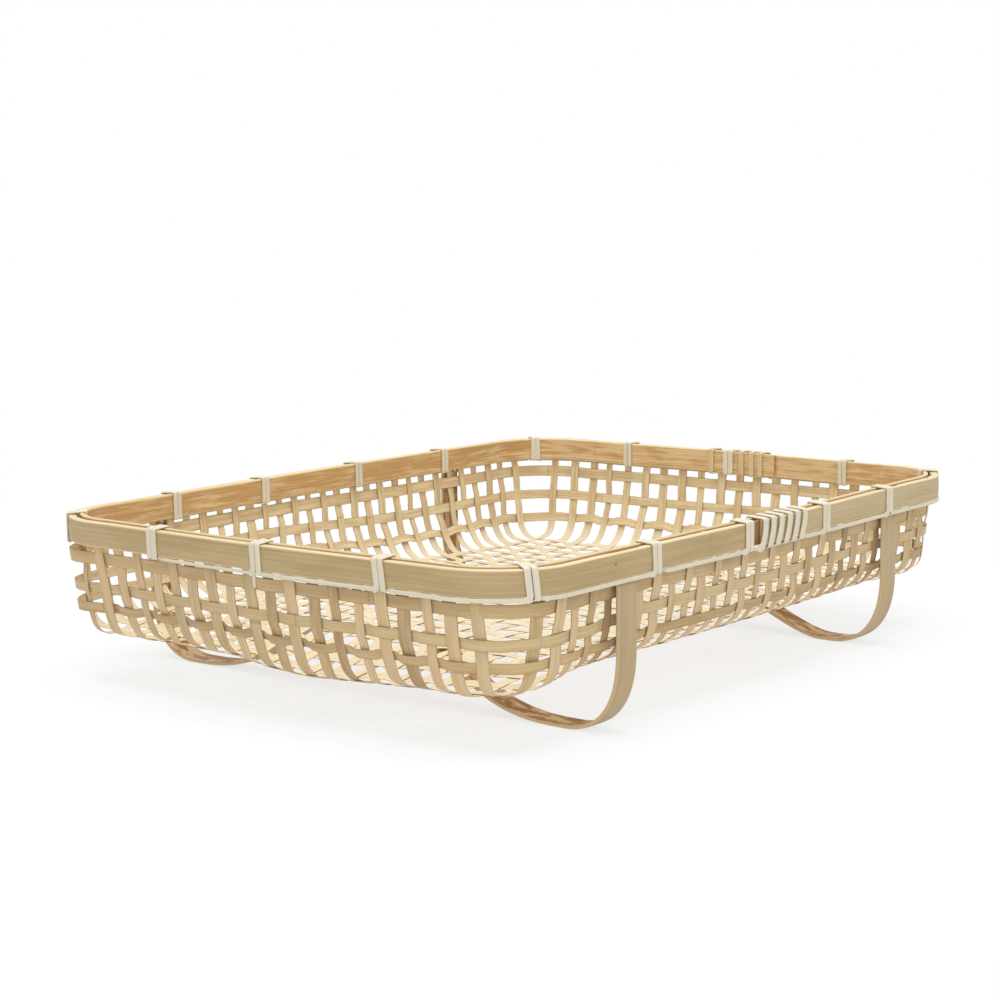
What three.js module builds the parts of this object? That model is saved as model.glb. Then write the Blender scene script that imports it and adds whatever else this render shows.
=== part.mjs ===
// Woven bamboo storage basket on two bent runners. Millimetres, +Z up, floor at z = 0.
// X runs along the long walls, Y along the short ones.
import * as THREE from 'three';

// Rim
const rimLength = 420; // outer hoop along X, before its sides bow out
const rimWidth = 315; // outer hoop along Y, before its sides bow out
const rimTop = 88; // height of the hoops' upper edge
const cornerRadius = 42; // outer face of the outer hoop
const sideBow = 3; // how far the middle of each side bows out
const hoopHeight = 12.7;
const outerHoopThickness = 3;
const innerHoopThickness = 2.5;
const scarfLength = 50; // overlap of a hoop's two thinned ends
const scarfRecess = 7; // bare length beside the outer hoop's end
const outerScarfAt = 5; // middle of the outer hoop's joint, along the front wall
const innerScarfAt = -9; // middle of the inner hoop's joint, along the right wall

// Woven body
const baseHeight = 32; // middle of the base weave
const bendRadius = 11; // turn from base to wall
const wallLean = THREE.MathUtils.degToRad(7); // walls lean out towards the rim
const splintWidth = 5.5;
const splintThickness = 0.7;
const crossSplints = 30; // run along Y
const longSplints = 20; // run along X
const weaverRows = 3; // run round the walls
const topRowDrop = 6.3; // middle of the top row, below the hoops' lower edge
const lowRowRise = 12.5; // middle of the lowest row, above the base weave
const splintTopDrop = 1; // splint ends below the hoops' upper edge

// Foot runners
const runnerSpread = 124; // each runner's distance from the middle, along X
const runnerWidth = 14.7;
const runnerThickness = 1.6;
const tongueThickness = 1.2; // the ends are thinned to fit into the rim
const footInset = 36; // low point of a foot, in from the outer hoop's face
const footFlat = 7; // length of the flat that meets the floor
const footKnee = 40; // height where the runner leaves the wall
const runnerBearing = 30; // half the length that bears on the base

// Lashing cane
const caneWidth = 2.5;
const caneThickness = 0.8;
const canePitch = 3.4; // spacing of two wraps side by side
const runnerCaneHeight = 1.6; // the cane lies on edge where it runs under the hoop
const wrapsAtCorner = 1.35; // extra spacing on the tight side of a corner

// Clearances
const fitGap = 0.3; // between pieces that touch
const weaveGap = 0.35; // between splints where they cross
const weaverGap = 0.35; // between a splint and the hoop or tongue beside it

// Derived sizes
const halfX = rimLength / 2;
const halfY = rimWidth / 2;
const cornerX = halfX - cornerRadius;
const cornerY = halfY - cornerRadius;
const hoopBottom = rimTop - hoopHeight;
const tongueInset = outerHoopThickness + fitGap + tongueThickness / 2;
const splintInset = tongueInset + tongueThickness / 2 + weaverGap + splintThickness / 2;
const innerHoopInset = splintInset + splintThickness / 2 + weaverGap;
const rimInset = innerHoopInset + innerHoopThickness;
const topRowZ = hoopBottom - topRowDrop;
const rowPitch = (topRowZ - baseHeight - lowRowRise) / (weaverRows - 1);
const bendCentreZ = baseHeight + bendRadius;
const bendStartZ = bendCentreZ - bendRadius * Math.sin(wallLean);
const bendStartInset = wallInset(bendStartZ);
const bendCentreInset = bendStartInset + bendRadius * Math.cos(wallLean);
const baseCorner = cornerRadius - bendCentreInset;
const crossReach = cornerX + 0.55 * baseCorner; // outermost cross splint
const longReach = cornerY + 0.58 * baseCorner; // outermost long splint
const crossPitch = (2 * crossReach) / (crossSplints - 1);
const longPitch = (2 * longReach) / (longSplints - 1);
const weaveSwing = (splintThickness + weaveGap) / (1 - splintWidth / Math.min(crossPitch, longPitch));

// The four walls, anticlockwise as seen from above, starting at -X.
// "along" is measured from a wall's middle, the way the list goes round.
const walls = [
  { normal: [-1, 0], along: [0, -1], half: halfX, corner: cornerY, count: longSplints, pitch: longPitch },
  { normal: [0, -1], along: [1, 0], half: halfY, corner: cornerX, count: crossSplints, pitch: crossPitch },
  { normal: [1, 0], along: [0, 1], half: halfX, corner: cornerY, count: longSplints, pitch: longPitch },
  { normal: [0, 1], along: [-1, 0], half: halfY, corner: cornerX, count: crossSplints, pitch: crossPitch },
];
const [LEFT, FRONT, RIGHT, BACK] = walls.keys();
const quarterArc = (Math.PI / 2) * cornerRadius;
const perimeter = 4 * (cornerX + cornerY) + 4 * quarterArc;

// Inset of the woven wall's middle from the outer hoop's face, at a height on its straight part
function wallInset(z) {
  return splintInset + (hoopBottom - z) * Math.tan(wallLean);
}

// Outward bow of a side, none at its ends
function bow(along, corner) {
  const wave = Math.cos((Math.PI * along) / (2 * corner));
  return sideBow * wave * wave;
}

// How far out a wall is where a splint meets it, and how far its face has turned round the corner there
function reach(wall, along, inset) {
  const past = Math.abs(along) - wall.corner;
  if (past <= 0) {
    return { out: wall.half - inset + bow(along, wall.corner), turn: 0 };
  }
  const radius = cornerRadius - inset;
  const turn = Math.asin(past / radius) * Math.sign(along);
  return { out: wall.half - cornerRadius + radius * Math.cos(turn), turn };
}

// A wall's own directions as vectors, turned by an angle round the corner
function facing(wall, turn) {
  const normal = new THREE.Vector3(...wall.normal, 0);
  const along = new THREE.Vector3(...wall.along, 0);
  const c = Math.cos(turn);
  const s = Math.sin(turn);
  return {
    out: normal.clone().multiplyScalar(c).addScaledVector(along, s),
    side: along.clone().multiplyScalar(c).addScaledVector(normal, -s),
  };
}

// Point on a wall, from its own distances
function wallPoint(wall, out, along, z) {
  const [nx, ny] = wall.normal;
  const [ax, ay] = wall.along;
  return new THREE.Vector3(nx * out + ax * along, ny * out + ay * along, z);
}

// Distance round the rim to a place on a wall, and to the middle of the corner after that wall
function rimPlace(index, along) {
  let start = 0;
  for (let k = 0; k < index; k++) {
    start += 2 * walls[k].corner + quarterArc;
  }
  return start + walls[index].corner + along;
}

function rimCorner(index) {
  return rimPlace(index, walls[index].corner) + quarterArc / 2;
}

// Point at a distance round the rim, an inset from the outer hoop's face, and a height
function rimPoint(distance, inset, z) {
  let rest = ((distance % perimeter) + perimeter) % perimeter;
  for (const wall of walls) {
    if (rest <= 2 * wall.corner) {
      const along = rest - wall.corner;
      return wallPoint(wall, wall.half - inset + bow(along, wall.corner), along, z);
    }
    rest -= 2 * wall.corner;
    if (rest <= quarterArc) {
      const { out } = facing(wall, rest / cornerRadius);
      const centre = wallPoint(wall, wall.half - cornerRadius, wall.corner, z);
      return centre.addScaledVector(out, cornerRadius - inset);
    }
    rest -= quarterArc;
  }
  return rimPoint(0, inset, z);
}

// Places round the rim between two distances, close enough together to follow its corners
function rimSteps(from, to) {
  const steps = [from];
  let start = 0;
  for (let lap = 0; lap < 2; lap++) {
    for (const wall of walls) {
      for (let k = 0; k < 8; k++) {
        steps.push(start + (2 * wall.corner * k) / 8);
      }
      start += 2 * wall.corner;
      for (let k = 0; k < 9; k++) {
        steps.push(start + (quarterArc * k) / 9);
      }
      start += quarterArc;
    }
  }
  const inside = steps.filter((place) => place > from + 1 && place < to - 1);
  return [from, ...inside, to];
}

// Solid through a row of four-cornered sections
function sweep(sections, closed = false) {
  const positions = sections.flat().flatMap((corner) => corner.toArray());
  const index = [];
  const last = sections.length - 1;
  for (let k = 0; k < (closed ? last + 1 : last); k++) {
    const a = 4 * k;
    const b = 4 * ((k + 1) % sections.length);
    for (let side = 0; side < 4; side++) {
      const next = (side + 1) % 4;
      index.push(a + side, b + side, b + next, a + side, b + next, a + next);
    }
  }
  if (!closed) {
    const e = 4 * last;
    index.push(0, 1, 2, 0, 2, 3, e, e + 2, e + 1, e, e + 3, e + 2);
  }
  const geometry = new THREE.BufferGeometry();
  geometry.setAttribute('position', new THREE.Float32BufferAttribute(positions, 3));
  geometry.setIndex(facesOut(positions, index) ? index : index.toReversed());
  geometry.computeVertexNormals();
  return geometry;
}

// Whether the triangles face out: their signed volume is positive
function facesOut(positions, index) {
  const corner = (k) => new THREE.Vector3().fromArray(positions, 3 * index[k]);
  let volume = 0;
  for (let k = 0; k < index.length; k += 3) {
    volume += corner(k).dot(corner(k + 1).cross(corner(k + 2)));
  }
  return volume > 0;
}

// Flat section: a middle, a width direction and a thickness direction
function flatSection(middle, widthWay, width, thickWay, thickness) {
  const corner = (w, t) =>
    middle.clone().addScaledVector(widthWay, (w * width) / 2).addScaledVector(thickWay, (t * thickness) / 2);
  return [corner(-1, -1), corner(1, -1), corner(1, 1), corner(-1, 1)];
}

// Places of the splints along a wall
function splintPlaces(count, pitch) {
  return Array.from({ length: count }, (_, k) => (k - (count - 1) / 2) * pitch);
}

// A splint's way up a wall, from the base to the rim: inset, height and tilt of its face below upright
function wallProfile() {
  const bendSteps = 3;
  const profile = [];
  for (let k = 0; k <= bendSteps; k++) {
    const tilt = Math.PI / 2 + ((wallLean - Math.PI / 2) * k) / bendSteps;
    profile.push({
      inset: bendCentreInset - bendRadius * Math.cos(tilt),
      z: bendCentreZ - bendRadius * Math.sin(tilt),
      tilt,
    });
  }
  profile.push({ inset: splintInset, z: hoopBottom, tilt: wallLean / 2 });
  profile.push({ inset: splintInset, z: rimTop - splintTopDrop, tilt: 0 });
  return profile;
}

// One end of a splint, from the base up a wall
function splintEnd(wall, along) {
  return wallProfile().map(({ inset, z, tilt }) => {
    const { out, turn } = reach(wall, along, inset);
    const flat = tilt / (Math.PI / 2); // 1 on the base, where the splint no longer turns with the corner
    const face = facing(wall, turn * (1 - flat));
    const thickWay = face.out.clone().multiplyScalar(Math.cos(tilt));
    thickWay.z = -Math.sin(tilt);
    return { middle: wallPoint(wall, out, along, z), side: face.side, thickWay };
  });
}

// A splint up one wall, over the base through its crossings, and up the wall opposite
function splint(firstWall, lastWall, place, crossings) {
  const first = splintEnd(firstWall, place.first).reverse();
  const lastEnd = splintEnd(lastWall, place.last);
  const widthWay = first[first.length - 1].side;
  const down = new THREE.Vector3(0, 0, -1);
  const sections = [];
  for (const { middle, side, thickWay } of first) {
    sections.push(flatSection(middle, side, splintWidth, thickWay, splintThickness));
  }
  for (const middle of crossings) {
    sections.push(flatSection(middle, widthWay, splintWidth, down, splintThickness));
  }
  for (const { middle, side, thickWay } of lastEnd) {
    sections.push(flatSection(middle, side.clone().negate(), splintWidth, thickWay, splintThickness));
  }
  return sweep(sections);
}

// Cross splints lie straight. They go up the front and back walls.
function crossSplint(x) {
  return splint(walls[FRONT], walls[BACK], { first: x, last: -x }, []);
}

// Long splints go over one cross splint and under the next, and up the left and right walls
function longSplint(y, number) {
  const crossings = splintPlaces(crossSplints, crossPitch).map((x, k) => {
    const lift = (k + number) % 2 === 0 ? weaveSwing : -weaveSwing;
    return new THREE.Vector3(x, y, baseHeight + lift);
  });
  return splint(walls[LEFT], walls[RIGHT], { first: -y, last: y }, crossings);
}

// Places along a wall where a weaver row has a section: at each splint, and between splints where the wall turns
function weaverPlaces(wall) {
  const places = splintPlaces(wall.count, wall.pitch);
  return places.flatMap((along, k) => {
    const here = { along, atSplint: true };
    const turns = k + 1 < places.length && Math.max(-along, places[k + 1]) > wall.corner;
    return turns ? [here, { along: (along + places[k + 1]) / 2, atSplint: false }] : [here];
  });
}

// A weaver row goes outside one upright splint and inside the next, all the way round
function weaverRow(number) {
  const z = topRowZ - number * rowPitch;
  const inset = wallInset(z);
  const cornerSteps = 4;
  const stations = [];
  let side = number % 2 === 0 ? 1 : -1;
  walls.forEach((wall, k) => {
    for (const { along, atSplint } of weaverPlaces(wall)) {
      const { out, turn } = reach(wall, along, inset);
      const room = 1 + Math.abs(turn); // swings wider where the wall turns
      const swing = atSplint ? side * room : 0;
      stations.push({ point: wallPoint(wall, out, along, z), face: facing(wall, turn), swing });
      side = atSplint ? -side : side;
    }
    const next = walls[(k + 1) % walls.length];
    const from = reach(wall, (wall.pitch * (wall.count - 1)) / 2, inset).turn;
    const to = Math.PI / 2 - reach(next, (next.pitch * (next.count - 1)) / 2, inset).turn;
    const centre = wallPoint(wall, wall.half - cornerRadius, wall.corner, z);
    for (let step = 1; step <= cornerSteps; step++) {
      const share = step / (cornerSteps + 1);
      const face = facing(wall, from + (to - from) * share);
      const point = centre.clone().addScaledVector(face.out, cornerRadius - inset);
      stations.push({ point, face, swing: -side * (1 - 2 * share) });
    }
  });
  const sections = stations.map(({ point, face, swing }) => {
    const thickWay = face.out.clone().multiplyScalar(Math.cos(wallLean));
    thickWay.z = -Math.sin(wallLean);
    const widthWay = face.out.clone().multiplyScalar(Math.sin(wallLean));
    widthWay.z = Math.cos(wallLean);
    const middle = point.clone().addScaledVector(thickWay, swing * weaveSwing);
    return flatSection(middle, widthWay, splintWidth, thickWay, splintThickness);
  });
  return sweep(sections, true);
}

// A hoop: one strip round the rim. Its first end is thinned to the half that shows, and its last end, which
// lies behind that one, to the other half.
function hoop(inset, thickness, scarfMiddle, showsOutside) {
  const step = 0.5; // run of the shoulder where an end is thinned
  const half = (thickness - fitGap) / 2;
  const start = scarfMiddle - scarfLength / 2;
  const end = start + scarfLength;
  const bare = showsOutside ? scarfRecess : step;
  const whole = [inset, inset + thickness];
  const outerHalf = [inset, inset + half];
  const innerHalf = [inset + thickness - half, inset + thickness];
  const [firstEnd, lastEnd] = showsOutside ? [outerHalf, innerHalf] : [innerHalf, outerHalf];
  const section = (place, [near, far]) => [
    rimPoint(place, near, hoopBottom),
    rimPoint(place, far, hoopBottom),
    rimPoint(place, far, rimTop),
    rimPoint(place, near, rimTop),
  ];
  const stretch = (from, to, faces) => [from, (from + to) / 2, to].map((place) => section(place, faces));
  return sweep([
    ...stretch(start + bare, end, firstEnd),
    ...rimSteps(end + step, start + perimeter - 2 * step).map((place) => section(place, whole)),
    ...stretch(start + perimeter - step, end + perimeter - step, lastEnd),
  ]);
}

// A runner: tucked into the rim on both long sides, looped under to the floor, and bearing on the base
function footRunner(x) {
  const face = reach(walls[BACK], -x, 0).out;
  const low = runnerThickness / 2;
  const outside = outerHoopThickness - runnerThickness / 2; // clear of the weaver rows
  const footY = face - footInset;
  const bearingZ = baseHeight - weaveSwing - splintThickness / 2 - fitGap - runnerThickness / 2;
  const knee = new THREE.Vector2(face - outside, footKnee);
  const heel = new THREE.Vector2(footY + footFlat / 2, low);
  const toe = new THREE.Vector2(footY - footFlat / 2, low);
  const bearing = new THREE.Vector2(runnerBearing, bearingZ);
  const loop = new THREE.CubicBezierCurve(
    knee,
    new THREE.Vector2(knee.x, 0.3 * footKnee),
    new THREE.Vector2(heel.x + 0.55 * (knee.x - heel.x), low),
    heel,
  );
  const rise = new THREE.CubicBezierCurve(
    toe,
    new THREE.Vector2(toe.x - 0.22 * (toe.x - bearing.x), low),
    new THREE.Vector2(bearing.x + 0.35 * (toe.x - bearing.x), bearingZ - 1),
    bearing,
  );
  const half = [
    new THREE.Vector2(face - tongueInset, rimTop - splintTopDrop),
    new THREE.Vector2(face - tongueInset, hoopBottom - fitGap),
    new THREE.Vector2(face - outside, hoopBottom - fitGap - 2.3),
    ...loop.getPoints(8),
    ...rise.getPoints(9),
  ];
  const path = [...half, ...half.toReversed().map((point) => new THREE.Vector2(-point.x, point.y))];
  const sections = path.map((point, k) => {
    const before = path[Math.max(k - 1, 0)];
    const after = path[Math.min(k + 1, path.length - 1)];
    const way = after.clone().sub(before).normalize();
    const ends = k < 2 || k > path.length - 3;
    const flat = Math.abs(point.y - low) < 1e-6;
    const thickWay = new THREE.Vector3(0, flat ? 0 : way.y, flat ? 1 : -way.x);
    if (ends) {
      thickWay.set(0, Math.sign(way.y), 0);
    }
    if (flat) {
      thickWay.multiplyScalar(-Math.sign(way.x));
    }
    const middle = new THREE.Vector3(x, point.x, point.y);
    const thickness = ends ? tongueThickness : runnerThickness;
    return flatSection(middle, new THREE.Vector3(1, 0, 0), runnerWidth, thickWay, thickness);
  });
  return sweep(sections);
}

// One binding: the places where the cane passes under the hoops, and its legs on the outer face
function binding(gaps, spacing) {
  const unders = gaps.flatMap((gap) => [gap - spacing / 2, gap + spacing / 2]);
  const feet = [unders[0] - spacing, ...unders.slice(0, -1)];
  if (gaps.length === 1) {
    return { unders, feet, tops: feet };
  }
  const first = feet[0] + 1.5;
  const last = unders[unders.length - 1];
  const tops = feet.map((_, k) => first + ((last - first) * k) / (feet.length - 1));
  return { unders, feet, tops };
}

// A lashing: one unbroken cane that runs under the outer hoop and is wrapped round both hoops at each binding
function lashing(bindings) {
  const near = fitGap; // gap from a hoop to the cane's nearer face
  const far = fitGap + caneThickness;
  const runTop = hoopBottom - fitGap;
  const runLow = runTop - runnerCaneHeight;
  const half = caneWidth / 2;
  const sections = [];
  let roll = 0;
  const push = (corners) => {
    sections.push([0, 1, 2, 3].map((k) => rimPoint(...corners[(k + roll) % 4])));
  };
  // Section across the wrap where it turns round an edge of the rim: nearer corner, then farther corner
  const edge = (place, nearInset, nearZ, farInset, farZ) => {
    push([
      [place - half, nearInset, nearZ],
      [place + half, nearInset, nearZ],
      [place + half, farInset, farZ],
      [place - half, farInset, farZ],
    ]);
  };
  const run = (place, outset) => {
    push([
      [place, -outset, runTop],
      [place, caneThickness - outset, runTop],
      [place, caneThickness - outset, runLow],
      [place, -outset, runLow],
    ]);
  };
  bindings.forEach(({ unders, feet, tops }, number) => {
    if (number > 0) {
      // Run from the binding before, move out past the hoop, and turn up
      const before = bindings[number - 1].unders;
      for (const place of rimSteps(before[before.length - 1] + half + 0.6, feet[0] - half - 2)) {
        run(place, 0);
      }
      run(feet[0] - half - 0.6, far);
      push([
        [feet[0] - half - 0.15, -far, runTop + 0.15],
        [feet[0] - half - 0.15, -near, runTop + 0.15],
        [feet[0] + half / 2, -near, runLow + 0.4],
        [feet[0] + half / 2, -far, runLow + 0.4],
      ]);
      roll += 3;
    }
    feet.forEach((foot, k) => {
      if (k === 0) {
        edge(foot, -near, hoopBottom + 1, -far, hoopBottom + 1);
      } else {
        edge(foot, -near, hoopBottom - near, -far, hoopBottom - far);
      }
      edge(tops[k], -near, rimTop + near, -far, rimTop + far);
      edge(tops[k], rimInset + near, rimTop + near, rimInset + far, rimTop + far);
      edge(unders[k], rimInset + near, hoopBottom - near, rimInset + far, hoopBottom - far);
    });
    // Out under the hoops, and round into the next run
    const out = unders[unders.length - 1];
    edge(out, caneThickness * 2, hoopBottom - near, caneThickness * 2, hoopBottom - far);
    if (number < bindings.length - 1) {
      push([
        [out - half / 4, 0.1, runTop],
        [out + half + 0.1, caneThickness * 1.5, runTop],
        [out + half + 0.1, caneThickness * 1.5, hoopBottom - far - 0.4],
        [out - half / 4, 0.1, hoopBottom - far - 0.4],
      ]);
    }
  });
  return sections;
}

// Least gap between two stretches of a cane that are not neighbours along it: that is, over a hoop's height apart
function leastSelfGap(sections) {
  const shares = [0, 0.25, 0.5, 0.75];
  const points = [];
  let travelled = 0;
  for (let k = 0; k + 1 < sections.length; k++) {
    const length = sections[k][0].distanceTo(sections[k + 1][0]);
    for (const share of shares) {
      for (let corner = 0; corner < 4; corner++) {
        const point = sections[k][corner].clone().lerp(sections[k + 1][corner], share);
        points.push({ point, at: travelled + share * length });
      }
    }
    travelled += length;
  }
  let least = Infinity;
  for (let a = 0; a < points.length; a++) {
    for (let b = a + 1; b < points.length; b++) {
      if (points[b].at - points[a].at > hoopHeight) {
        least = Math.min(least, points[a].point.distanceTo(points[b].point));
      }
    }
  }
  return least;
}

// Bindings, each in a gap between two splints. Gaps are counted from the middle of a wall.
function wallBinding(index, ...gaps) {
  const wall = walls[index];
  return binding(gaps.map((gap) => rimPlace(index, gap * wall.pitch)), canePitch);
}

function cornerBinding(index) {
  return binding([rimCorner(index)], canePitch * wrapsAtCorner);
}

const frontBindings = [
  wallBinding(LEFT, -5),
  wallBinding(LEFT, 1),
  wallBinding(LEFT, 6),
  cornerBinding(LEFT),
  wallBinding(FRONT, -8),
  wallBinding(FRONT, -2),
  wallBinding(FRONT, 0, 1, 2),
  wallBinding(FRONT, 4),
  wallBinding(FRONT, 9),
  cornerBinding(FRONT),
];
const backBindings = [
  wallBinding(RIGHT, -6),
  wallBinding(RIGHT, -2, -1, 0),
  wallBinding(RIGHT, 6),
  cornerBinding(RIGHT),
  wallBinding(BACK, -9),
  wallBinding(BACK, -3),
  wallBinding(BACK, 4),
  wallBinding(BACK, 9),
  cornerBinding(BACK),
];

const basket = new THREE.Group();
basket.name = 'storage_basket';

function add(name, geometry) {
  const mesh = new THREE.Mesh(geometry);
  mesh.name = name;
  basket.add(mesh);
}

const number = (k) => String(k + 1).padStart(2, '0');

add('hoop_outer', hoop(0, outerHoopThickness, rimPlace(FRONT, outerScarfAt), true));
add('hoop_inner', hoop(innerHoopInset, innerHoopThickness, rimPlace(RIGHT, innerScarfAt), false));
splintPlaces(longSplints, longPitch).forEach((y, k) => add(`splint_long_${number(k)}`, longSplint(y, k)));
splintPlaces(crossSplints, crossPitch).forEach((x, k) => add(`splint_cross_${number(k)}`, crossSplint(x)));
for (let k = 0; k < weaverRows; k++) {
  add(`weaver_row_${k + 1}`, weaverRow(k));
}
add('foot_runner_left', footRunner(-runnerSpread));
add('foot_runner_right', footRunner(runnerSpread));
for (const [name, bindings] of [['lashing_front', frontBindings], ['lashing_back', backBindings]]) {
  const sections = lashing(bindings);
  const loops = bindings.reduce((sum, { feet }) => sum + feet.length, 0);
  console.log(`${name}: ${loops} loops, least gap to itself ${leastSelfGap(sections).toFixed(2)} mm`);
  add(name, sweep(sections));
}

// The origin is under the middle of the whole part, on the floor
const box = new THREE.Box3().setFromObject(basket);
const middle = box.getCenter(new THREE.Vector3());
for (const mesh of basket.children) {
  mesh.geometry.translate(-middle.x, -middle.y, -box.min.z);
}

export default basket;
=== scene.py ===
import math
from collections import namedtuple

import bpy
import numpy as np
from mathutils import Matrix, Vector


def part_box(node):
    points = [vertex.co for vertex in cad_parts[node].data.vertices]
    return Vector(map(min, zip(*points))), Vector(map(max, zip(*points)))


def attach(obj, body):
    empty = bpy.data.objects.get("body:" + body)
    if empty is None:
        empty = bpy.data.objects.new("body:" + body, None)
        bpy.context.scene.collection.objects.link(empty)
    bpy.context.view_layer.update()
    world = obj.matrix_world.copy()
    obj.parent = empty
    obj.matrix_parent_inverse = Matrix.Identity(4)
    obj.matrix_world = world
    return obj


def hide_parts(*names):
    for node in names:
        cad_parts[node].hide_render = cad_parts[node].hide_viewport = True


# Looks of the woven bamboo storage basket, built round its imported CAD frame.
# Sizes are millimetres until a mesh is made. X runs along the long walls, Y along the short ones, +Z is up.

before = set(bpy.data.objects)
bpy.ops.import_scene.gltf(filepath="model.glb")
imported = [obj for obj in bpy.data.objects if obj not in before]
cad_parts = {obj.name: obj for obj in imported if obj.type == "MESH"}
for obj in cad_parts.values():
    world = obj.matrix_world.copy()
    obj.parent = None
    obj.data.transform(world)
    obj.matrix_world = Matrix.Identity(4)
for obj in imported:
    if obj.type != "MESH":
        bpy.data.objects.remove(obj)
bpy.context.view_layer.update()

MM = 0.001
rng = np.random.default_rng(11)
seeds = np.random.default_rng(5)

# Rim
RIM_LENGTH = 420.0
RIM_WIDTH = 315.0
RIM_TOP = 88.0
CORNER_RADIUS = 42.0
SIDE_BOW = 3.0
HOOP_HEIGHT = 12.7
OUTER_HOOP_THICKNESS = 3.0
INNER_HOOP_THICKNESS = 2.5
INNER_HOOP_INSET = 5.9
HOOP_FILL = 1.2  # the outer hoop is thicker between the runners, up to the splints
FILL_CLEAR = 9.0  # but not this near to a runner's middle
FILL_RUN = 6.0
INNER_HOOP_RISE = 0.6  # its upper edge stands a little above the outer hoop's
SCARF_LENGTH = 50.0
SCARF_RECESS = 7.0
SCARF_GAP = 0.3  # between the two thinned ends
OUTER_SCARF_AT = 5.0
INNER_SCARF_AT = -9.0
HOOP_END_CLEAR = 0.5  # a hoop's ends stop this short of the ends of its joint
FIRST_END_RUN = 4.0  # length over which its first end grows thin
LAST_END_RUN = 2.0  # and its last end
SPLICE_LUMP = 0.5  # swell of the outer hoop's first end, once for each wrap over it
LUMP_WIDER = 0.3  # share of that which widens it
HOOP_DRIFT = (0.12, 320.0)  # size and length of the drift of a hoop's height
HOOP_WIDTH_DRIFT = (0.1, 260.0)
HOOP_TONE_DRIFT = (0.1, 500.0)
OUTER_TONE = 0.42
INNER_TONE = 0.25
OUTER_LIGHT_AT = 190.0  # place along the front wall round which the outer hoop is lighter
INNER_LIGHT_AT = 20.0  # and along the right wall, for the inner hoop, where the lighter colour is painted light
LIGHT_REACH = (80.0, 160.0)
LIGHTER = 0.55
JOINT_STAIN = 0.75  # at the outer hoop's last end

# Woven body
BASE_HEIGHT = 32.0
BEND_RADII = (21.0, 18.0, 22.0, 22.0)  # turn from the base to the left, front, right and back wall
CORNER_BEND_RADIUS = 11.0
BEND_CORE = 0.7  # share of half a wall that has the wall's own turn
BEND_EASE = 0.45  # and the share over which it eases to the corners'
BASE_INSET = 22.0  # about where the base starts to turn up
WALL_LEAN = math.radians(7.0)
SPLINT_THICKNESS = 0.45
BASE_THICKNESS = 0.35
SPLINT_WIDTH = 6.1
WIDTH_RANGE = (0.82, 1.24)  # shares of that width that a splint may have
WIDTH_DRIFT = (0.05, 240.0)  # size and length of the drift of a splint's width
NEAR_WIDTH = 1.06  # a splint is a little wider at its left or front end
FAR_WIDTH = 0.88
BROAD_SPLINT = 1  # one long splint near the front has its own width and tone
BROAD_WIDTH = 7.2
BROAD_TONE = 0.82
SPLINT_INSET = 5.2
SPLINT_TOP = 87.0
CROSS_SPLINTS = 30
LONG_SPLINTS = 20
CROSS_REACH = 179.96  # outermost cross splint
LONG_REACH = 128.11  # outermost long splint
ROW_HEIGHTS = (69.0, 56.75, 44.5)
LEFT_DROPS = (0.6, 4.3, 1.7)  # how much lower each row lies along the left wall
FAR_DROPS = (1.8, 4.6, 3.6)  # and round the back right corner
LEFT_DROP_REACH = (195.0, 60.0)  # a drop holds this far to both sides, and is gone this much further on
FAR_DROP_REACH = (130.0, 125.0)
ROW_WIDTHS = (6.6, 5.5, 5.4)
ROW_TONES = (0.35, 0.75, 0.25)
ROW_WAVES = (2, 5, 9, 14)  # waves round the rim that make up a row's drift
ROW_DRIFT = 0.3
ROW_WIDTH_DRIFT = 0.04
ROW_TONE_DRIFT = 0.12
ROW_CORNER_BULGES = (1.4, 0.8, 1.4, 5.6)  # rows stand out a little at each corner
STAKE_CORNER_BULGE = 3.0  # the body swells below the rim at the back left corner
SWELL_RUN = 25.0
LEFT_LEAN = 4.5  # upright splints of the left wall lean forward, most at its back
LEAN_FROM = 20.0
LEAN_RUN = 140.0
SKIPPED = range(8, 13)  # cross splints that the lowest row passes outside of, on the front wall
LONG_SWING = 0.27  # how far a strip is pushed out of the weave's middle at a crossing
CROSS_SWING = 0.22
ROW_SWINGS = (0.38, 0.4, 0.52)
STAKE_SWING = 0.26
LEVEL = 0.33  # share of the way to the next crossing that stays level
PLACE_DRIFT = 0.6  # how far a splint may lie off its own spot on the base
TOP_DRIFT = 1.4  # and its upper end off that
SWAY = (0.35, 170.0)  # size and length of a splint's slow sideways drift, which ends at a height
SWAY_TOP = 70.0
SWAY_FADE = 20.0
PALE_FROM = 34.0  # splints turn from pale pith to their own tone above this height; the pale pith is painted lighter to stand for the strong light on the base
PALE_RUN = 10.0
BASE_STRETCH = 1.012
CROSS_SPREAD = 0.048  # the weave is drawn wider on the middle of the base than at its corners
LONG_SPREAD = 0.072
LEFT_SAG = 11.5  # droop of the base's left edge, outside the runner
SAG_FROM = -132.0
SAG_RUN = 52.0
SAG_Y = (-150.0, -110.0, -14.0, 10.0, 30.0, 95.0, 150.0)  # share of that droop from front to back
SAG_SHARES = (0.3, 0.58, 0.96, 0.85, 0.6, 0.58, 0.4)
FAR_SAG = 6.5  # droop of the base along its back and right edges
BACK_SAG_FROM = (-60.0, 32.0)  # where it starts, and how far on it is full, along X and Y
BACK_SAG_RUN = (150.0, 50.0)
RIGHT_SAG_FROM = (128.0, -100.0)
RIGHT_SAG_RUN = (40.0, 100.0)
FAR_DIP = 3.0  # and a little more inside that corner
DIP_AT = (135.0, 85.0)
DIP_SIZE = (55.0, 40.0)
SAG_TOP = 46.0  # nothing droops above this height, and all does this far below it
SAG_FADE = 12.0

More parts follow.
